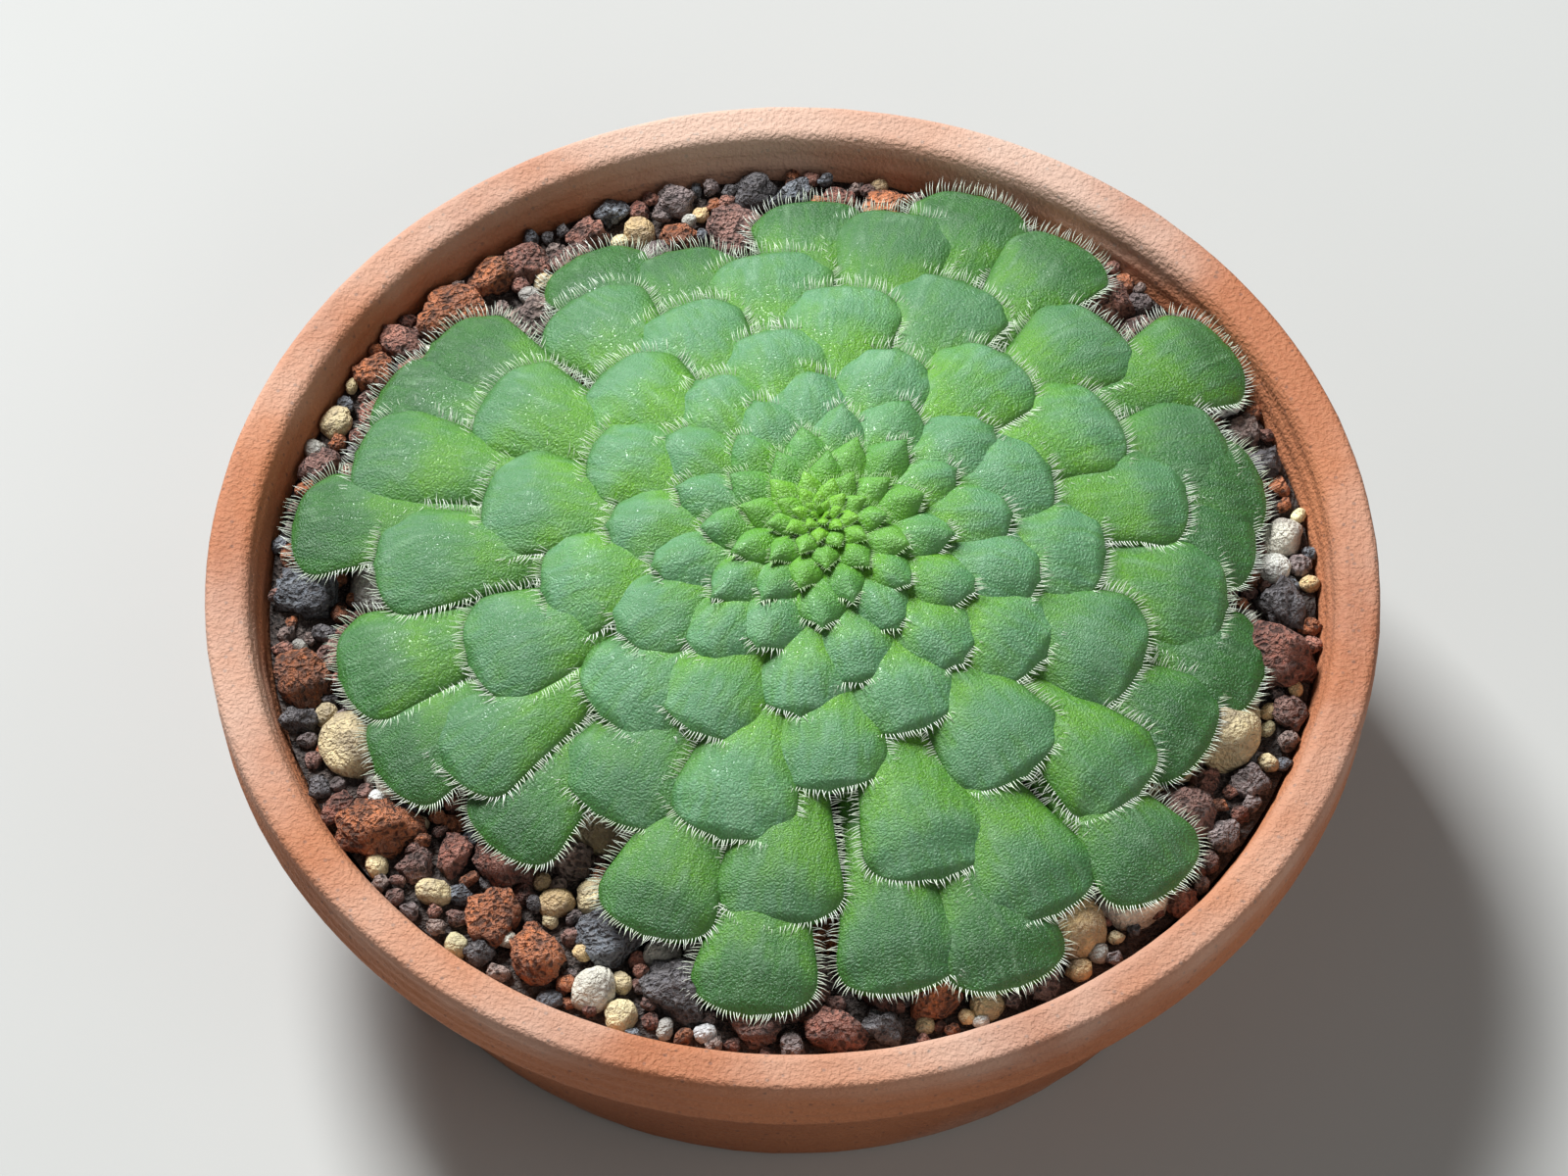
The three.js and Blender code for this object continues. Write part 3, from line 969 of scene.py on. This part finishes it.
# Turned pieces
def spun(profile, steps, closed):
    """Turns (radius, height) pairs, in millimetres, round the Z axis."""
    bm = bmesh.new()
    points = [bm.verts.new((radius * MM, 0, height * MM)) for radius, height in profile]
    edges = [bm.edges.new(pair) for pair in zip(points, points[1:])]
    if closed:
        edges.append(bm.edges.new((points[-1], points[0])))
    bmesh.ops.spin(
        bm,
        geom=points + edges,
        cent=(0, 0, 0),
        axis=(0, 0, 1),
        angle=2 * math.pi,
        steps=steps,
        use_merge=True,
    )
    bmesh.ops.remove_doubles(bm, verts=bm.verts, dist=1e-6)
    bmesh.ops.recalc_face_normals(bm, faces=bm.faces)
    return bm


def add_stem(material):
    """The short stem, thickened where the leaves sit."""
    profile = [
        (0, CROWN_TOP - STEM_TOP_DEPTH),
        (0.3 * STEM_HEAD, CROWN_TOP - 1.3 * STEM_TOP_DEPTH),
        (0.7 * STEM_HEAD, CROWN_TOP - 2.5 * STEM_TOP_DEPTH),
        (STEM_HEAD, CROWN_TOP - 0.6 * OLD_BASE_DEPTH),
        (STEM_HEAD, CROWN_TOP - OLD_BASE_DEPTH),
        (STEM_RADIUS, CROWN_TOP - 1.4 * OLD_BASE_DEPTH),
        (STEM_RADIUS, STEM_FOOT),
        (0, STEM_FOOT),
    ]
    bm = spun(profile, STEM_STEPS, closed=False)
    bmesh.ops.subdivide_edges(bm, edges=bm.edges, cuts=2, use_grid_fill=True)
    for vertex in bm.verts:
        lump = STEM_LUMPS * noise.noise(vertex.co * LUMPS_PER_METRE)
        vertex.co += Vector((vertex.co.x, vertex.co.y, 0)).normalized() * lump * MM
        vertex.co += Vector((*GROWING_POINT, 0)) * MM
    mesh = mesh_from(bm, "stem")
    mesh.shade_smooth()
    add_piece("stem", mesh, material, "rosette")


def outer_radius(height):
    """The radius of the pan's outside at a height."""
    wall_top_radius = RIM_RADIUS - COLLAR_STEP
    return FOOT_RADIUS + (wall_top_radius - FOOT_RADIUS) * height / POT_HEIGHT


def inner_radius(height):
    """The radius of the pan's inside at a height."""
    return min(outer_radius(height) - WALL, RIM_RADIUS - RIM_WALL)


def is_ring(edge):
    """Whether an edge runs round the pan, level with it."""
    first, second = (vertex.co for vertex in edge.verts)
    level = abs(first.z - second.z) < 1e-6
    same_radius = abs(first.xy.length - second.xy.length) < 1e-6
    return level and same_radius


def add_pan(material):
    """The clay pan: spun, its edges rounded, then given throwing ripples and a slight wobble."""
    rim_inner = RIM_RADIUS - RIM_WALL
    wall_top = POT_HEIGHT - COLLAR_HEIGHT
    soil_top = soil_box[1].z / MM
    profile = [
        (DRAIN_RADIUS, 0),
        (DRAIN_RADIUS, FLOOR_THICKNESS),
        (inner_radius(FLOOR_THICKNESS), FLOOR_THICKNESS),
        (inner_radius(soil_top), soil_top),
        (rim_inner, POT_HEIGHT),
        (RIM_RADIUS, POT_HEIGHT),
        (RIM_RADIUS - COLLAR_TAPER, wall_top),
        (outer_radius(wall_top), wall_top),
        (FOOT_RADIUS, 0),
    ]
    bm = spun(profile, PAN_STEPS, closed=True)
    rings = [edge for edge in bm.edges if is_ring(edge)]
    bmesh.ops.bevel(
        bm,
        geom=rings,
        offset=EDGE_ROUNDING * MM,
        segments=4,
        profile=0.5,
        affect="EDGES",
        material=-1,
        clamp_overlap=True,
    )
    walls = [edge for edge in bm.edges if not is_ring(edge) and edge.calc_length() > CUT_OVER * MM]
    bmesh.ops.subdivide_edges(bm, edges=walls, cuts=WALL_CUTS, use_grid_fill=True)
    for vertex in bm.verts:
        height = vertex.co.z / MM
        outward = Vector((vertex.co.x, vertex.co.y, 0)).normalized()
        turn = math.atan2(vertex.co.y, vertex.co.x)
        ripple = RIPPLE * math.sin(2 * math.pi * (height / RIPPLE_PITCH + turn / (2 * math.pi)))
        wobble = PAN_WOBBLE * noise.noise(outward * WOBBLES_ROUND + UP * height / WOBBLE_LENGTH)
        grit = PAN_GRIT * noise.noise(vertex.co * GRITS_PER_METRE)
        fade = smooth(height, *FOOT_FADE)
        fade *= 1 - smooth(height, POT_HEIGHT - RIM_FADE, POT_HEIGHT)
        vertex.co += outward * (ripple * fade + wobble * fade + grit - PAN_SHRINKAGE) * MM
    mesh = mesh_from(bm, "clay_pan")
    mesh.shade_smooth()
    add_piece("clay_pan", mesh, material, "pot")


# Lava gravel
RED = [(0.30, 0.11, 0.075), (0.40, 0.17, 0.12), (0.30, 0.15, 0.12), (0.50, 0.16, 0.06)]
DARK = [(0.17, 0.16, 0.17), (0.30, 0.23, 0.22), (0.38, 0.27, 0.23), (0.20, 0.22, 0.25)]
PALE = [(0.72, 0.58, 0.32), (0.84, 0.80, 0.66), (0.66, 0.46, 0.22), (0.42, 0.41, 0.36)]


def random_direction(rng):
    """A direction drawn evenly from all round."""
    turn = rng.uniform(0, 2 * math.pi)
    height = rng.uniform(-1, 1)
    flat = math.sqrt(1 - height * height)
    return Vector((flat * math.cos(turn), flat * math.sin(turn), height))


def shape_stone(stone, vertices, tone_layer, tones, cut_depths, lumps):
    """Cuts flats on a ball, squashes and turns it, roughens it, and lays it in place."""
    rng = random.Random(stone.seed)
    cuts = [(random_direction(rng), rng.uniform(*cut_depths)) for _ in range(FLAT_CUTS)]
    stretch = Vector((1, rng.uniform(*STONE_WIDTHS), rng.uniform(*STONE_HEIGHTS)))
    turn = Matrix.Rotation(rng.uniform(0, 2 * math.pi), 3, "Z")
    turn = turn @ Matrix.Rotation(rng.uniform(*STONE_TIP), 3, "X")
    offset = Vector((stone.seed * STONE_STEP, 0, 0))
    tone = rng.choice(tones)
    shade = rng.uniform(*STONE_SHADES)
    colour = (*[min(1, channel * shade) for channel in tone], 1)
    for vertex in vertices:
        direction = vertex.co.normalized()
        reach = 1.0
        for normal, depth in cuts:
            facing = normal.dot(direction)
            if facing > depth:
                reach = min(reach, depth / facing)
        reach += lumps * noise.noise(direction * LUMPS_ROUND + offset)
        shaped = turn @ (direction * reach * stretch)
        vertex[tone_layer] = colour
        vertex.co = (stone.centre + shaped * stone.size) * MM


def ball_pattern(subdivisions):
    """A ball with room for the colour of each stone."""
    bm = bmesh.new()
    bmesh.ops.create_icosphere(bm, subdivisions=subdivisions, radius=1)
    bm.verts.layers.float_color.new("stone_tone")
    return mesh_from(bm, "ball_pattern")


def scatter_stones():
    """Packs stones from large to small on the bed, from under the leaves to the wall."""
    rng = random.Random(STONE_SEED)
    stones = []
    for rank, (sizes, count, closeness) in enumerate(STONE_RANKS):
        for _ in range(count):
            for _attempt in range(SPOT_TRIES):
                size = rng.uniform(*sizes)
                wall = inner_radius(STONE_TOP) - size * WALL_SHARE - WALL_GAP
                radius = math.sqrt(rng.uniform(STONES_FROM**2, wall**2))
                turn = rng.uniform(0, 2 * math.pi)
                spot = Vector((radius * math.cos(turn), radius * math.sin(turn)))
                if all((spot - s.spot).length > closeness * (size + s.size) for s in stones):
                    break
            else:
                continue
            top = STONE_TOP - rng.uniform(*STONE_SINKING) - SMALLER_SINKING * rank
            low = max(top - HIGHEST_SHARE * size, BED_TOP + LOWEST_SHARE * size)
            level = low
            if rank > 0:
                level = lerp(BED_TOP + SUNK_SHARE * size, low, rng.random())
            stones.append(
                SimpleNamespace(
                    spot=spot,
                    size=size,
                    rank=rank,
                    centre=Vector((spot.x, spot.y, level)),
                    seed=rng.randrange(100000),
                    draw=rng.random(),
                )
            )
    return stones


def add_stones(name, stones, subdivisions, material, look):
    """Shapes stones of one look in one piece. A look is tones, depths of flats, and lumps."""
    bm, groups = copies_of(ball_pattern(subdivisions), len(stones))
    tone_layer = bm.verts.layers.float_color["stone_tone"]
    for stone, vertices in zip(stones, groups):
        shape_stone(stone, vertices, tone_layer, *look)
    mesh = mesh_from(bm, name)
    mesh.shade_smooth()
    add_piece(name, mesh, material, "lava_gravel")


def add_gravel():
    """Stones of three looks in the ring round the plant, on a bed of fine crumbs."""
    lava = stone_finish("porous_lava", 760.0, 1.0, 0.0011, 0.92)
    dense = stone_finish("smooth_pebble", 900.0, 0.25, 0.0004, 0.6)
    stones = scatter_stones()
    # Each look has its name, its share of the draws from 0 to 1, its finish and its form
    looks = [
        ("red_lava", 0.0, 0.46, lava, (RED, (0.6, 0.88), 0.26)),
        ("dark_lava", 0.46, 0.78, lava, (DARK, (0.58, 0.86), 0.28)),
        ("pale_pebbles", 0.78, 1.01, dense, (PALE, (0.78, 0.98), 0.1)),
    ]
    for name, low, high, material, look in looks:
        mine = [stone for stone in stones if low <= stone.draw < high]
        large = [stone for stone in mine if stone.rank < 2]
        small = [stone for stone in mine if stone.rank == 2]
        add_stones(name, large, 3, material, look)
        add_stones(name + "_crumbs", small, 2, material, look)
    add_bed(lava)


def add_bed(material):
    """The bed of fine crumbs that the stones lie in."""
    wall = inner_radius(BED_TOP) - WALL_GAP
    foot = inner_radius(GRAVEL_BOTTOM) - WALL_GAP
    profile = [
        (0, GRAVEL_BOTTOM),
        (foot, GRAVEL_BOTTOM),
        (wall, BED_TOP),
        (wall * 0.75, BED_TOP),
        (wall * 0.5, BED_TOP),
        (STEM_RADIUS, BED_TOP),
        (0, BED_TOP),
    ]
    bm = spun(profile, BED_STEPS, closed=False)
    bmesh.ops.subdivide_edges(bm, edges=bm.edges, cuts=3, use_grid_fill=True)
    tone_layer = bm.verts.layers.float_color.new("stone_tone")
    for vertex in bm.verts:
        vertex[tone_layer] = BED_TONE
        if vertex.co.z > (BED_TOP - 0.5) * MM:
            vertex.co.z += noise.noise(vertex.co * CRUMBS_PER_METRE) * CRUMB_HEIGHT * MM
    mesh = mesh_from(bm, "gravel_bed")
    mesh.shade_smooth()
    add_piece("gravel_bed", mesh, material, "lava_gravel")


# The stage
VIEW_ELEVATION = 57
LENS = 220
SENSOR = 36
IMAGE_WIDTH = 1600
IMAGE_HEIGHT = 1200
CROWN_PIXEL = (838, 520)
PIXELS_PER_METRE = 5760
# Lights: place and size in metres, power, and colour
MAIN_LIGHT = ((-1.0, 1.7, 1.95), 0.8, 165, (0.95, 0.985, 1.0))
FRONT_LIGHT = ((0.8, -0.9, 0.9), 1.2, 6.0, (1.0, 0.97, 0.92))
SKY_COLOUR = (0.93, 0.96, 1.0, 1)
SKY_STRENGTH = 0.13
FLOOR_RADIUS = 4
LIGHTS_AIM = (0, 0, 0.05)


def add_camera():
    """The camera looks along +Y and down, with the growing point at its pixel of the picture."""
    data = bpy.data.cameras.new("camera")
    data.lens = LENS
    data.sensor_width = SENSOR
    data.clip_end = 20
    camera = bpy.data.objects.new("camera", data)
    bpy.context.scene.collection.objects.link(camera)
    pitch = math.radians(90 - VIEW_ELEVATION)
    ahead = Vector((0, math.sin(pitch), -math.cos(pitch)))
    above = Vector((0, math.cos(pitch), math.sin(pitch)))
    right = Vector((1, 0, 0))
    distance = LENS / SENSOR * IMAGE_WIDTH / PIXELS_PER_METRE
    across = (CROWN_PIXEL[0] - IMAGE_WIDTH / 2) / PIXELS_PER_METRE
    upward = (IMAGE_HEIGHT / 2 - CROWN_PIXEL[1]) / PIXELS_PER_METRE
    crown = Vector((*GROWING_POINT, CROWN_TOP)) * MM
    camera.location = crown - ahead * distance - right * across - above * upward
    camera.rotation_euler = (pitch, 0, 0)
    bpy.context.scene.camera = camera


def add_light(name, place, size, power, colour):
    """Adds a square light that faces the plant."""
    data = bpy.data.lights.new(name, "AREA")
    data.size = size
    data.energy = power
    data.color = colour
    light = bpy.data.objects.new(name, data)
    light.location = place
    towards = Vector(LIGHTS_AIM) - Vector(place)
    light.rotation_euler = towards.to_track_quat("-Z", "Y").to_euler()
    bpy.context.scene.collection.objects.link(light)


def add_stage():
    """A floor, soft light from the sky, a main light from behind and a weak one in front."""
    bm = bmesh.new()
    bmesh.ops.create_circle(bm, cap_ends=True, segments=96, radius=FLOOR_RADIUS)
    floor = bpy.data.objects.new("floor", mesh_from(bm, "floor"))
    floor.data.materials.append(floor_finish())
    bpy.context.scene.collection.objects.link(floor)
    world = bpy.data.worlds.new("soft_daylight")
    world.use_nodes = True
    sky = world.node_tree.nodes["Background"]
    sky.inputs["Color"].default_value = SKY_COLOUR
    sky.inputs["Strength"].default_value = SKY_STRENGTH
    bpy.context.scene.world = world
    add_light("key", *MAIN_LIGHT)
    add_light("fill", *FRONT_LIGHT)
    bpy.context.scene.view_settings.view_transform = "Standard"


add_camera()
add_stage()
leaf_skin = leaf_finish()
hair_skin = fringe_finish()
all_leaves = [leaf_plan(n) for n in range(LEAF_COUNT)]
for part_name, first, last in LEAF_GROUPS:
    add_leaves(part_name + "_leaves", all_leaves[first:last], leaf_skin)
    add_fringe(part_name + "_fringe", all_leaves[first:last], hair_skin)
add_stem(stem_finish())
add_gravel()
add_pan(clay_finish())
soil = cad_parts["soil"]
soil.data.materials.clear()
soil.data.materials.append(soil_finish())

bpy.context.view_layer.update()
